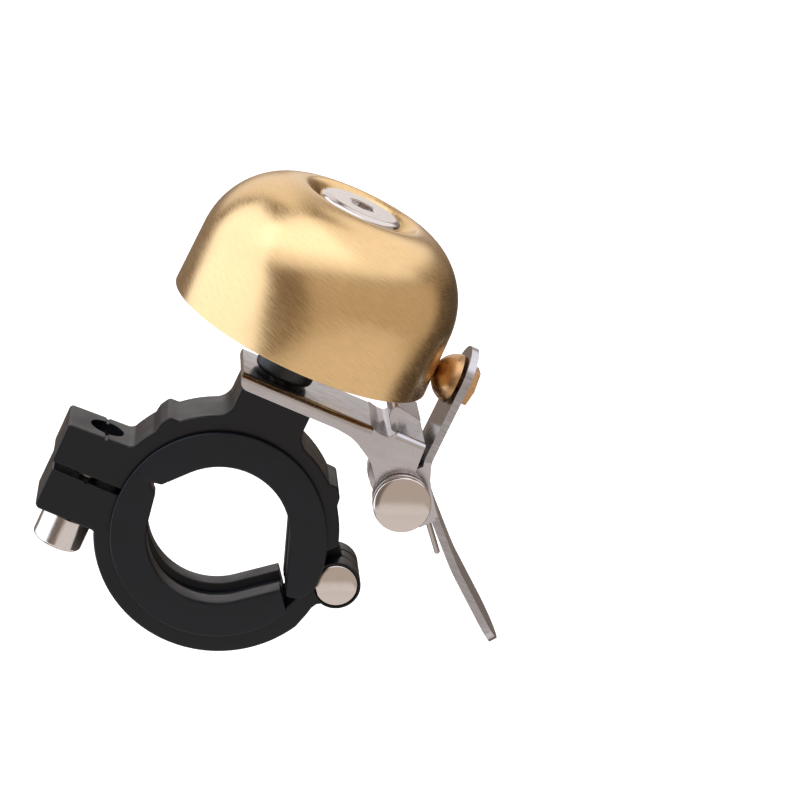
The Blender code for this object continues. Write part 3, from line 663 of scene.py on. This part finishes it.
class BELL_OT_lower_casting(bpy.types.Operator):
    """Cast the clamp's lower half, which swings open on the hinge"""

    bl_idname = "bell.lower_casting"
    bl_label = "Lower casting"

    def execute(self, context):
        edge = sizes().casting_edge
        hinge = (HINGE.x, HINGE.z)
        outline = Outline(*polar(BORE_RADIUS, 180.6, LOWER_CENTRE)).arc(LOWER_CENTRE, 179.0, 90)
        outline.line(0.0180, -0.0006, 0.0006).line(0.0188, -0.0052, 0.0006).line(0.0184, -0.0072, 0.0020)
        outline.line(*polar(LOWER_RADIUS, 332.0, LOWER_CENTRE)).arc(LOWER_CENTRE, -129.0, 84)
        outline.line(-0.0176, LUG_BOTTOM_Z, 0.0008).line(DOOR_LOW.x, LUG_BOTTOM_Z, 0.0009)
        outline.line(DOOR_LOW.x + 0.0001, SPLIT_LOWER_Z, 0.0005)
        made = slab(outline.closed(5), -CLAMP_HALF, CLAMP_HALF, edge)
        neck = Outline(0.0172, -0.0006).line(0.0172, -0.0062).line(0.0187, -0.0058).line(0.0191, -0.0050, 0.0006)
        neck.line(*polar(KNUCKLE_RADIUS, -104.0, hinge)).arc(hinge, 254.0, 60)
        combine(made, slab(neck.closed(), -COLLAR_END, COLLAR_END, 0.00015, 2), "UNION")
        centre = HINGE_AXIS
        combine(made, rod(KNUCKLE_RADIUS + 0.0003, -KNUCKLE_SPLIT - 0.0003, KNUCKLE_SPLIT + 0.0003, centre, "Y"))
        for side in (-1, 1):
            ends = sorted((side * KNUCKLE_END, side * 0.0060))
            combine(made, rod(0.00355, *ends, centre, "Y", 96))
        combine(made, rod(HINGE_HOLE, -0.006, 0.006, centre, "Y"))
        combine(made, rod(BOLT_HOLE, -0.010, 0.001, (BOLT_X, 0, 0)))
        for height in (SPLIT_LOWER_Z, LUG_BOTTOM_Z):
            combine(made, rod(0.0003, -CLAMP_HALF - 0.001, CLAMP_HALF + 0.001, (BOLT_X, 0, height), "Y", 12))
        piece("lower_casting", made, DOOR, black_coat(), ["clamp_lower"], 32.0, even=True)
        return {"FINISHED"}


class BELL_OT_rivets(bpy.types.Operator):
    """Turn the lever's rivet with its two washers, and the clamp hinge's rivet"""

    bl_idname = "bell.rivets"
    bl_label = "Rivets"

    def execute(self, context):
        finish = polished_nickel()
        for name, node, shank, crown in (("lever_rivet", "pivot_rivet", 0.0020, 0.00035),
                                         ("hinge_rivet", "hinge_pin", 0.0015, 0.00025)):
            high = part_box(node)[1]
            radius, reach = high.x - middle(node).x, high.y
            under = {"pivot_rivet": reach - 0.0014, "hinge_pin": reach - 0.0008}[node]
            half = [(shank, under), (radius, under, 0.00015), (radius, reach - crown - 0.00018, 0.0003)]
            dish = [(radius * (1 - i / 8), reach - crown * (1 - i / 8) ** 2) for i in range(1, 9)]
            line = Outline(0.0, -reach)
            line.lines([(r, -h) for r, h in reversed(dish[:-1])])
            line.lines([(r, -h, *rest) for r, h, *rest in reversed(half)])
            line.lines(half + dish)
            made = turned(line.open(4), middle(node), "Y", 128)
            piece(name, made, FIXED, finish, [node], 40.0)
        for name, node in (("rivet_washer_near", "pivot_washer_near"), ("rivet_washer_far", "pivot_washer_far")):
            low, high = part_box(node)
            centre = Vector((PIVOT.x, (low.y + high.y) / 2, PIVOT.z))
            half = (high.y - low.y) / 2
            made = washer(PIVOT_HOLE, high.x - PIVOT.x, -half, half, 0.00015, centre, "Y", 128)
            piece(name, made, FIXED, finish, [node], 40.0)
        return {"FINISHED"}


class BELL_OT_clamp_screw(bpy.types.Operator):
    """Make the clamp's socket screw, with its thread"""

    bl_idname = "bell.clamp_screw"
    bl_label = "Clamp screw"

    def execute(self, context):
        pitch = sizes().thread_pitch
        head = BOLT_HIGH.x - BOLT_X
        seat = LUG_BOTTOM_Z - 0.0003
        crest, root = 0.0023, 0.00195
        line = Outline(0.0, BOLT_LOW.z)
        line.lines([(head, BOLT_LOW.z, 0.0006), (head, seat, 0.0002), (crest, seat)])
        height = seat + 0.0030
        while height + pitch < BOLT_HIGH.z - 0.0004:
            line.lines([(crest, height), (root, height + pitch * 0.42), (root, height + pitch * 0.58)])
            height += pitch
        line.lines([(crest, height), (crest, BOLT_HIGH.z - 0.0004), (root - 0.0002, BOLT_HIGH.z), (0.0, BOLT_HIGH.z)])
        made = turned(line.open(4), (BOLT_X, 0, 0), steps=128)
        combine(made, rod(0.0023, BOLT_LOW.z - 0.001, BOLT_LOW.z + 0.0025, (BOLT_X, 0, 0), steps=6))
        piece("socket_screw", made, BOLT, zinc_plate(), ["clamp_bolt"], 40.0, even=True)
        return {"FINISHED"}


class BELL_OT_shim(bpy.types.Operator):
    """Mould the split nylon shim, with its flanges, its inner channel and its hinge notch"""

    bl_idname = "bell.shim"
    bl_label = "Shim"

    bar = 0.0111
    runs = ((20.0, -21.5), (138.0, 161.0), (191.0, 169.5), (309.0, 343.5))
    notch = 165.0

    def inner(self, degrees):
        """The bore's radius: round, but straight beside the notch and beside the split."""
        if abs(degrees - self.notch) < 1.0:
            return 0.0136
        for contact, end in self.runs:
            low, high = sorted((contact, end))
            if low <= degrees <= high:
                return self.bar / math.cos(math.radians(degrees - contact))
        return self.bar

    def flange(self, degrees):
        """The flange's radius: it swells towards the split, and its corner there is cut back."""
        if degrees > 30.0:
            return SHIM_HIGH.x
        if degrees > -9.0:
            return SHIM_HIGH.x + 0.0009 * (30.0 - degrees) / 39.0
        return SHIM_HIGH.x + 0.0009 * (1.0 + (degrees + 9.0) / 12.0)

    def section(self, degrees):
        """A closed section (radius, y): two rounded flanges outside, and a channel between two lands inside."""
        inner = self.inner(degrees)
        floor = max(min(inner + 0.0012, 0.0148), inner + 0.0001)
        edge, flange = SHIM_HIGH.y, self.flange(degrees)
        sleeve, lip = BORE_RADIUS - 0.0003, 0.00065
        half = [(sleeve, -edge + lip), (flange - 0.0001, -edge + lip), (flange, -edge + lip - 0.0001)]
        half += [(flange, -edge + 0.00025), (flange - 0.0001, -edge + 0.0001), (flange - 0.0003, -edge)]
        half += [(inner + 0.00055, -edge), (inner + 0.0002, -edge + 0.0001), (inner, -edge + 0.00045)]
        half += [(inner, -0.0026), (inner + 0.0001, -0.0024), (floor - 0.0001, -0.0021), (floor, -0.0019)]
        return half + [(r, -y) for r, y in reversed(half)]

    def angles(self):
        marks = [-21.0, -9.0, 20.0, 138.0, 161.0, 164.2, 164.8, 165.2, 165.8, 169.5, 191.0, 309.0, 341.8]
        found = []
        for low, high in zip(marks, marks[1:]):
            steps = max(1, round((high - low) / 2.5))
            found += [low + (high - low) * i / steps for i in range(steps)]
        return found + [marks[-1]]

    def execute(self, context):
        made = bmesh.new()
        angles = self.angles()
        loops = []
        for angle in angles:
            drop = 0.0
            if self.notch < angle < 345.0:
                drop = -LOWER_CENTRE[1] * min(1.0, (angle - self.notch) / 25.0)
            ring = []
            inner, outer = self.inner(angle), self.flange(angle)
            lean = 4.5 * max(0.0, 1.0 - (angle - angles[0]) / 16.0)
            lean -= 8.0 * max(0.0, 1.0 - (angles[-1] - angle) / 25.0)
            for radius, y in self.section(angle):
                x, z = polar(radius, angle + lean * (radius - inner) / (outer - inner))
                ring.append(made.verts.new((x, y, z - drop)))
            loops.append([made.edges.new(pair) for pair in zip(ring, ring[1:] + ring[:1])])
        for first, second in zip(loops, loops[1:]):
            bmesh.ops.bridge_loops(made, edges=first + second)
        for loop in (loops[0], loops[-1]):
            bmesh.ops.contextual_create(made, geom=loop)
        bmesh.ops.recalc_face_normals(made, faces=made.faces)
        piece("split_shim", made, FIXED, black_nylon(), ["bar_shim"], 40.0, even=True)
        return {"FINISHED"}


class BELL_OT_bracket(bpy.types.Operator):
    """Stamp and fold the bracket: the floor with its stop tab, the flanges, and the two pivot ears"""

    bl_idname = "bell.bracket"
    bl_label = "Bracket"

    def fold(self, made, x_from, x_to, side, half, top):
        """Rounds a stretch of the sheet's long top edge, by cutting away what lies outside the fold."""
        bend = sizes().sheet_bend
        corner = Outline(half, top - bend).arc((half - bend, top - bend), 90.0, 10)
        corner.lines([(half - bend, top + 0.001), (half + 0.001, top + 0.001), (half + 0.001, top - bend)])
        ends = (-x_to, -x_from) if side > 0 else (x_from, x_to)
        cutter = slab(corner.closed(), *ends)
        bmesh.ops.rotate(cutter, verts=cutter.verts, matrix=Matrix.Rotation(side * math.pi / 2, 3, "Z"))
        combine(made, cutter)

    def execute(self, context):
        size = sizes()
        half = BRACKET_HIGH.y
        left = BRACKET_LOW.x
        pivot = (PIVOT.x, PIVOT.z)
        outline = Outline(left, FLOOR_Z).line(0.0143, FLOOR_Z, 0.0012).line(0.0160, TROUGH_Z, 0.0010)
        outline.line(0.0173, TROUGH_Z, 0.0006).line(STEP_X, STEP_Z, 0.0002).line(BRACKET_RIGHT_X, STEP_Z, 0.0004)
        outline.line(PIVOT.x + 0.0001, 0.0222).line(*polar(EAR_RADIUS, 45.0, pivot)).arc(pivot, -205.0, 60)
        outline.line(0.0186, 0.0181, 0.003).line(0.0164, 0.0209, 0.004).line(0.0125, 0.0232, 0.006)
        outline.line(0.0095, FLANGE_Z, 0.004).line(left, FLANGE_Z, 0.0016)
        made = slab(outline.closed(6), -half, half, 0.0001, 2)
        for x_from, x_to, top in ((left - 0.001, 0.0146, FLOOR_Z), (0.0183, BRACKET_RIGHT_X + 0.001, STEP_Z)):
            for side in (-1, 1):
                self.fold(made, x_from, x_to, side, half, top)
        sheet = size.sheet
        under = Outline(-0.010, FLOOR_Z - sheet).line(0.0144, FLOOR_Z - sheet, 0.001)
        under.line(0.0157, TROUGH_Z - sheet, 0.001).line(0.0172, TROUGH_Z - sheet, 0.001)
        under.line(0.0188, STEP_Z - sheet, 0.001).line(0.030, STEP_Z - sheet).line(0.030, 0.010).line(-0.010, 0.010)
        combine(made, slab(under.closed(), -half + sheet, half - sheet, 0.0004, 3))
        tab = Outline(0.0182, 0.0255).line(0.0160, 0.0287, 0.0016).line(0.0167, 0.0302, 0.0009)
        tab.line(0.0212, 0.0295).line(0.02115, 0.0284).line(0.0175, 0.0290, 0.0004).line(0.0191, 0.0259)
        combine(made, slab(tab.closed(), -0.0045, 0.0045, 0.00012, 2), "UNION")
        combine(made, rod(0.0025, 0.020, 0.030, (DOME_X, 0, 0)))
        combine(made, rod(PIVOT_HOLE, -0.010, 0.010, PIVOT_AXIS, "Y"))
        piece("stamped_bracket", made, FIXED, satin_steel(), ["bracket"], 32.0, even=True)
        return {"FINISHED"}


def lever_line():
    """The strip's outer face, as an open line from the top of the arm to the tip of the thumb plate."""
    line = Outline(ARM_X, LEVER_HIGH.z)
    line.line(ARM_X, 0.0240, 0.004).line(0.0268, 0.0209, 0.006).line(0.0297, 0.0170, 0.02)
    line.line(0.0370, 0.0098, 0.03).line(*TIP)
    return line


class BELL_OT_lever(bpy.types.Operator):
    """Stamp and fold the lever: the arm, the thumb plate, and the two ears on the pivot"""

    bl_idname = "bell.lever"
    bl_label = "Lever"

    def rounded_end(self, made, middle_point, direction, half):
        """Trims a strip's end to a half circle."""
        along = Vector((direction[0], 0, direction[1])).normalized()
        out = along.cross(Vector((0, 1, 0)))
        keep = bmesh.new()
        turn = Matrix((along, Vector((0, 1, 0)), out)).transposed().to_4x4()
        corner = keep.verts.new((-half, -half, 0))
        rim = bmesh.ops.spin(keep, geom=[corner], cent=(-half, 0, 0), axis=(0, 0, 1), angle=math.pi, steps=48)
        last = rim["geom_last"][0]
        outer = [keep.verts.new((x, y, 0)) for x, y in ((-half, half * 1.5), (half, half * 1.5),
                                                        (half, -half * 1.5), (-half, -half * 1.5))]
        chain = [last] + outer + [corner]
        for pair in zip(chain, chain[1:]):
            keep.edges.new(pair)
        bmesh.ops.contextual_create(keep, geom=keep.edges[:])
        lift(keep, (0, 0, 0.010))
        bmesh.ops.translate(keep, verts=keep.verts, vec=(0, 0, -0.005))
        bmesh.ops.transform(keep, matrix=Matrix.Translation(middle_point) @ turn, verts=keep.verts)
        bmesh.ops.recalc_face_normals(keep, faces=keep.faces)
        combine(made, keep)

    def execute(self, context):
        size = sizes()
        half = 0.0055
        pivot = (PIVOT.x, PIVOT.z)
        made = lever_line().open(8)
        lift(made, (0, 2 * half, 0))
        bmesh.ops.translate(made, verts=made.verts, vec=(0, -half, 0))
        bmesh.ops.recalc_face_normals(made, faces=made.faces)
        if made.faces[0].normal.x < 0:
            bmesh.ops.reverse_faces(made, faces=made.faces)
        bmesh.ops.solidify(made, geom=made.faces[:], thickness=size.lever_sheet)
        bmesh.ops.recalc_face_normals(made, faces=made.faces)
        for side in (-1, 1):
            ear = Outline(0.0252, 0.0236).line(0.0238, 0.0222).line(*polar(EAR_RADIUS, 100.0, pivot))
            ear.arc(pivot, 218.0, 60).line(0.0284, 0.0136).line(0.0302, 0.0157)
            ends = sorted((side * half, side * (half - size.lever_sheet)))
            combine(made, slab(ear.closed(), *ends), "UNION")
        self.rounded_end(made, (ARM_X, 0, LEVER_HIGH.z), (0, 1), half)
        self.rounded_end(made, (TIP[0], 0, TIP[1]), (0.0050, -0.0037), half)
        combine(made, rod(PIVOT_HOLE, -0.010, 0.010, PIVOT_AXIS, "Y"))
        combine(made, rod(0.0017, -0.003, 0.003, (ARM_X, 0, middle("hammer_ball").z), "X"))
        finishes = [satin_steel(), sheared_steel("sheared edge of the arm", 0.0),
                    sheared_steel("sheared edge of the thumb plate", 47.0)]
        for face in made.faces:
            spot = face.calc_center_median()
            if abs(face.normal.y) > 0.9 and abs(spot.y) > half - 0.001:
                if spot.z > 0.0240:
                    face.material_index = 1
                elif spot.x > 0.0300:
                    face.material_index = 2
        piece("stamped_lever", made, LEVER, finishes, ["striker_lever"], 32.0, even=True)
        return {"FINISHED"}


class BELL_OT_spring(bpy.types.Operator):
    """Wind the torsion spring round the pivot, with one leg on the thumb plate and one under the floor"""

    bl_idname = "bell.spring"
    bl_label = "Spring"

    leg_angle = 47.0
    legs_apart = 4.0
    coil_radius = 0.0030
    half_width = 0.0029
    thumb_leg = (0.0335, 0.0100)
    fixed_leg = (0.0190, 0.0245)

    def leg(self, made, ring, end, y):
        """Draws the wire out from the end of the coil, and rounds its tip."""
        face = bmesh.ops.extrude_discrete_faces(made, faces=ring)["faces"][0]
        moved = face.verts[:]
        centre = sum((v.co for v in moved), Vector()) / len(moved)
        target = Vector((end[0], y, end[1]))
        along = (target - centre).normalized()
        turn = face.normal.rotation_difference(along).to_matrix()
        bmesh.ops.rotate(made, verts=moved, cent=centre, matrix=turn)
        bmesh.ops.translate(made, verts=moved, vec=target - centre)
        soften(made, face.edges[:], sizes().wire * 0.7, 3)

    def execute(self, context):
        size = sizes()
        x, z = polar(self.coil_radius, self.leg_angle, (PIVOT.x, PIVOT.z))
        start = Vector((x, -self.half_width, z))
        made = bmesh.new()
        bmesh.ops.create_circle(made, cap_ends=False, segments=12, radius=size.wire)
        face_along = Matrix.Rotation(math.radians(-self.leg_angle), 4, "Y")
        bmesh.ops.transform(made, matrix=Matrix.Translation(start) @ face_along, verts=made.verts)
        sweep = size.coil_turns * 360.0 + self.legs_apart
        steps = 36 * size.coil_turns
        first = made.edges[:]
        spun = bmesh.ops.spin(made, geom=made.verts[:] + made.edges[:], cent=PIVOT, axis=(0, -1, 0),
                              angle=math.radians(sweep), steps=steps, dvec=(0, 2 * self.half_width / steps, 0))
        last = [e for e in spun["geom_last"] if isinstance(e, bmesh.types.BMEdge)]
        caps = [bmesh.ops.contextual_create(made, geom=ring)["faces"] for ring in (first, last)]
        bmesh.ops.recalc_face_normals(made, faces=made.faces)
        self.leg(made, caps[0], self.thumb_leg, -self.half_width)
        self.leg(made, caps[1], self.fixed_leg, self.half_width)
        bmesh.ops.recalc_face_normals(made, faces=made.faces)
        mesh = bpy.data.meshes.new("coil_spring")
        made.to_mesh(mesh)
        made.free()
        mesh.shade_smooth()
        mesh.materials.append(spring_wire())
        spring = bpy.data.objects.new("coil_spring", mesh)
        context.scene.collection.objects.link(spring)
        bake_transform(spring)
        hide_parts("torsion_spring")
        return {"FINISHED"}


class BELL_OT_striker(bpy.types.Operator):
    """Turn the striker with its stud, and make the nut that holds it"""

    bl_idname = "bell.striker"
    bl_label = "Striker"

    def execute(self, context):
        finish = striker_brass()
        radius = BALL_HIGH.y + 0.0003
        centre = Vector((BALL_LOW.x + radius - 0.0002, 0, middle("hammer_ball").z))
        reach = ARM_X - sizes().lever_sheet - 0.0003 - centre.x
        stud = 0.0014
        line = Outline(0.0, -radius)
        end = math.degrees(math.acos(-(reach - 0.0001) / radius))
        line.arc((0, 0), end, 30)
        line.line(math.sqrt(radius**2 - reach**2) - 0.0001, reach, 0.00012)
        line.line(stud, reach).line(stud, BALL_HIGH.x - centre.x - 0.0002).line(stud - 0.0002, BALL_HIGH.x - centre.x)
        line.line(0.0, BALL_HIGH.x - centre.x)
        made = turned(line.open(4), centre, "X", 96)
        piece("striker_ball", made, LEVER, finish, ["hammer_ball"], 40.0)
        low, high = NUT_LOW.x - centre.x, NUT_HIGH.x - centre.x
        nut = rod(0.0033, low, high, centre, "X", 6)
        soften(nut, nut.edges[:], 0.00012, 2)
        combine(nut, rod(0.0017, low - 0.001, high + 0.001, centre, "X"))
        piece("striker_nut", nut, LEVER, finish, ["hammer_nut"], 32.0, even=True)
        return {"FINISHED"}


# ----- Stage -----

CAMERA_PLACE = Vector((-0.06655, -0.42068, 0.14524))
CAMERA_RIGHT = Vector((0.9031, -0.0646, 0.4244))
CAMERA_UP = Vector((-0.3852, 0.3148, 0.8675))
CAMERA_LENS = 127.48


class BELL_OT_stage(bpy.types.Operator):
    """Lay the pale floor, hang the soft studio light and set the camera"""

    bl_idname = "bell.stage"
    bl_label = "Stage"

    # Each panel: azimuth from behind the camera towards its right, elevation, soft edge (all in degrees), light.
    panels = (
        ("table", (-180, 180), (-90, -44), 4, (0.66, 0.64, 0.63)),
        ("near table", (-60, 112), (-44, -37), 3, (0.66, 0.64, 0.63)),
        ("right wall", (-12, 116), (-37, 16), 5, (0.38, 0.345, 0.30)),
        ("left box", (-124, -48), (-36, 66), 4, (1.50, 1.66, 1.90)),
        ("top box", (-48, 100), (20, 90), 6, (1.02, 1.06, 1.15)),
        ("top glow", (-60, 45), (36, 86), 8, (0.55, 0.60, 0.70)),
        ("right box", (100, 152), (27, 66), 6, (1.02, 1.04, 1.08)),
        ("left backdrop", (-180, -140), (27, 90), 6, (0.86, 0.86, 0.87)),
        ("right backdrop", (165, 180), (18, 90), 6, (0.80, 0.80, 0.81)),
        # The panels add up, so a negative one takes light away.
        ("dark corner", (117, 165), (-40, 12), 6, (-0.19, -0.15, -0.12)),
    )
    room = (0.27, 0.212, 0.172)

    def window(self, tree, value, low, high, soft):
        """One between two values, nought outside them, with soft edges."""
        rise = add(tree, "ShaderNodeMapRange", {"Value": value, "From Min": low - soft, "From Max": low + soft},
                   interpolation_type="SMOOTHSTEP").outputs["Result"]
        fall = add(tree, "ShaderNodeMapRange", {"Value": value, "From Min": high + soft, "From Max": high - soft},
                   interpolation_type="SMOOTHSTEP").outputs["Result"]
        return add(tree, "ShaderNodeMath", {0: rise, 1: fall}, operation="MULTIPLY").outputs[0]

    def studio(self, tree):
        """A dark room with soft panels, placed by azimuth and elevation, behind a white backdrop."""
        direction = add(tree, "ShaderNodeTexCoord").outputs["Generated"]
        right, up, back = [add(tree, "ShaderNodeVectorMath", {0: direction, 1: axis}, operation="DOT_PRODUCT")
                           .outputs["Value"] for axis in (CAMERA_RIGHT, CAMERA_UP, CAMERA_RIGHT.cross(CAMERA_UP))]
        turns = [add(tree, "ShaderNodeMath", {0: right, 1: back}, operation="ARCTAN2"),
                 add(tree, "ShaderNodeMath", {0: up}, operation="ARCSINE")]
        azimuth, elevation = [add(tree, "ShaderNodeMath", {0: turn.outputs[0]}, operation="DEGREES").outputs[0]
                              for turn in turns]
        light = self.room
        for name, across, height, soft, colour in self.panels:
            wide = self.window(tree, azimuth, across[0] - (soft * 2 if across[0] == -180 else 0),
                               across[1] + (soft * 2 if across[1] == 180 else 0), soft)
            tall = self.window(tree, elevation, height[0] - (soft * 2 if height[0] == -90 else 0),
                               height[1] + (soft * 2 if height[1] == 90 else 0), soft)
            both = add(tree, "ShaderNodeMath", {0: wide, 1: tall}, operation="MULTIPLY").outputs[0]
            panel = add(tree, "ShaderNodeVectorMath", {0: both, 1: colour, 2: light}, operation="MULTIPLY_ADD")
            panel.label = name
            light = panel.outputs[0]
        seen = add(tree, "ShaderNodeLightPath").outputs["Is Camera Ray"]
        white = add(tree, "ShaderNodeVectorMath", {0: seen, 1: (1.0, 1.0, 1.0), 2: light}, operation="MULTIPLY_ADD")
        tree.links.new(white.outputs[0], tree.nodes["Background"].inputs["Color"])

    def execute(self, context):
        scene = context.scene
        made = bmesh.new()
        bmesh.ops.create_grid(made, x_segments=1, y_segments=1, size=6.0)
        bmesh.ops.translate(made, verts=made.verts, vec=(0, 0, -0.22))
        mesh = bpy.data.meshes.new("floor")
        made.to_mesh(mesh)
        made.free()
        material, tree, shader = new_finish("pale floor", scene.bell_colours.floor, 0.0, 0.9)
        shader.inputs["Emission Color"].default_value = (1, 1, 1, 1)
        shader.inputs["Emission Strength"].default_value = 0.45
        mesh.materials.append(material)
        floor = bpy.data.objects.new("floor", mesh)
        floor.visible_glossy = False
        scene.collection.objects.link(floor)

        world = bpy.data.worlds.new("studio")
        world.use_nodes = True
        scene.world = world
        self.studio(world.node_tree)

        view = bpy.data.cameras.new("camera")
        view.sensor_width = 36.0
        view.lens = CAMERA_LENS
        camera = bpy.data.objects.new("camera", view)
        back = CAMERA_RIGHT.cross(CAMERA_UP)
        turn = Matrix((CAMERA_RIGHT, CAMERA_UP, back)).transposed().to_4x4()
        camera.matrix_world = Matrix.Translation(CAMERA_PLACE) @ turn
        scene.collection.objects.link(camera)
        scene.camera = camera
        scene.view_settings.view_transform = "Standard"
        return {"FINISHED"}


# ----- Panel and registration -----

PIECES = (BELL_OT_dome, BELL_OT_crown_screw, BELL_OT_post, BELL_OT_upper_casting, BELL_OT_lower_casting,
          BELL_OT_rivets, BELL_OT_clamp_screw, BELL_OT_shim, BELL_OT_bracket, BELL_OT_lever, BELL_OT_spring,
          BELL_OT_striker, BELL_OT_stage)


class BELL_PT_pieces(bpy.types.Panel):
    """Lists the bell's pieces, sizes and colours"""

    bl_idname = "BELL_PT_pieces"
    bl_label = "Bicycle Bell"
    bl_space_type = "VIEW_3D"
    bl_region_type = "UI"
    bl_category = "Bell"

    def draw(self, context):
        for group in (context.scene.bell_sizes, context.scene.bell_colours):
            box = self.layout.box()
            for key in group.__annotations__:
                box.prop(group, key)
        for made in PIECES:
            self.layout.operator(made.bl_idname)


CLASSES = (BellSizes, BellColours, *PIECES, BELL_PT_pieces)


def register():
    for made in CLASSES:
        bpy.utils.register_class(made)
    bpy.types.Scene.bell_sizes = PointerProperty(type=BellSizes)
    bpy.types.Scene.bell_colours = PointerProperty(type=BellColours)


def unregister():
    del bpy.types.Scene.bell_colours
    del bpy.types.Scene.bell_sizes
    for made in reversed(CLASSES):
        bpy.utils.unregister_class(made)


def main():
    register()
    for made in PIECES:
        group, name = made.bl_idname.split(".")
        getattr(getattr(bpy.ops, group), name)()


if __name__ == "__main__":
    main()
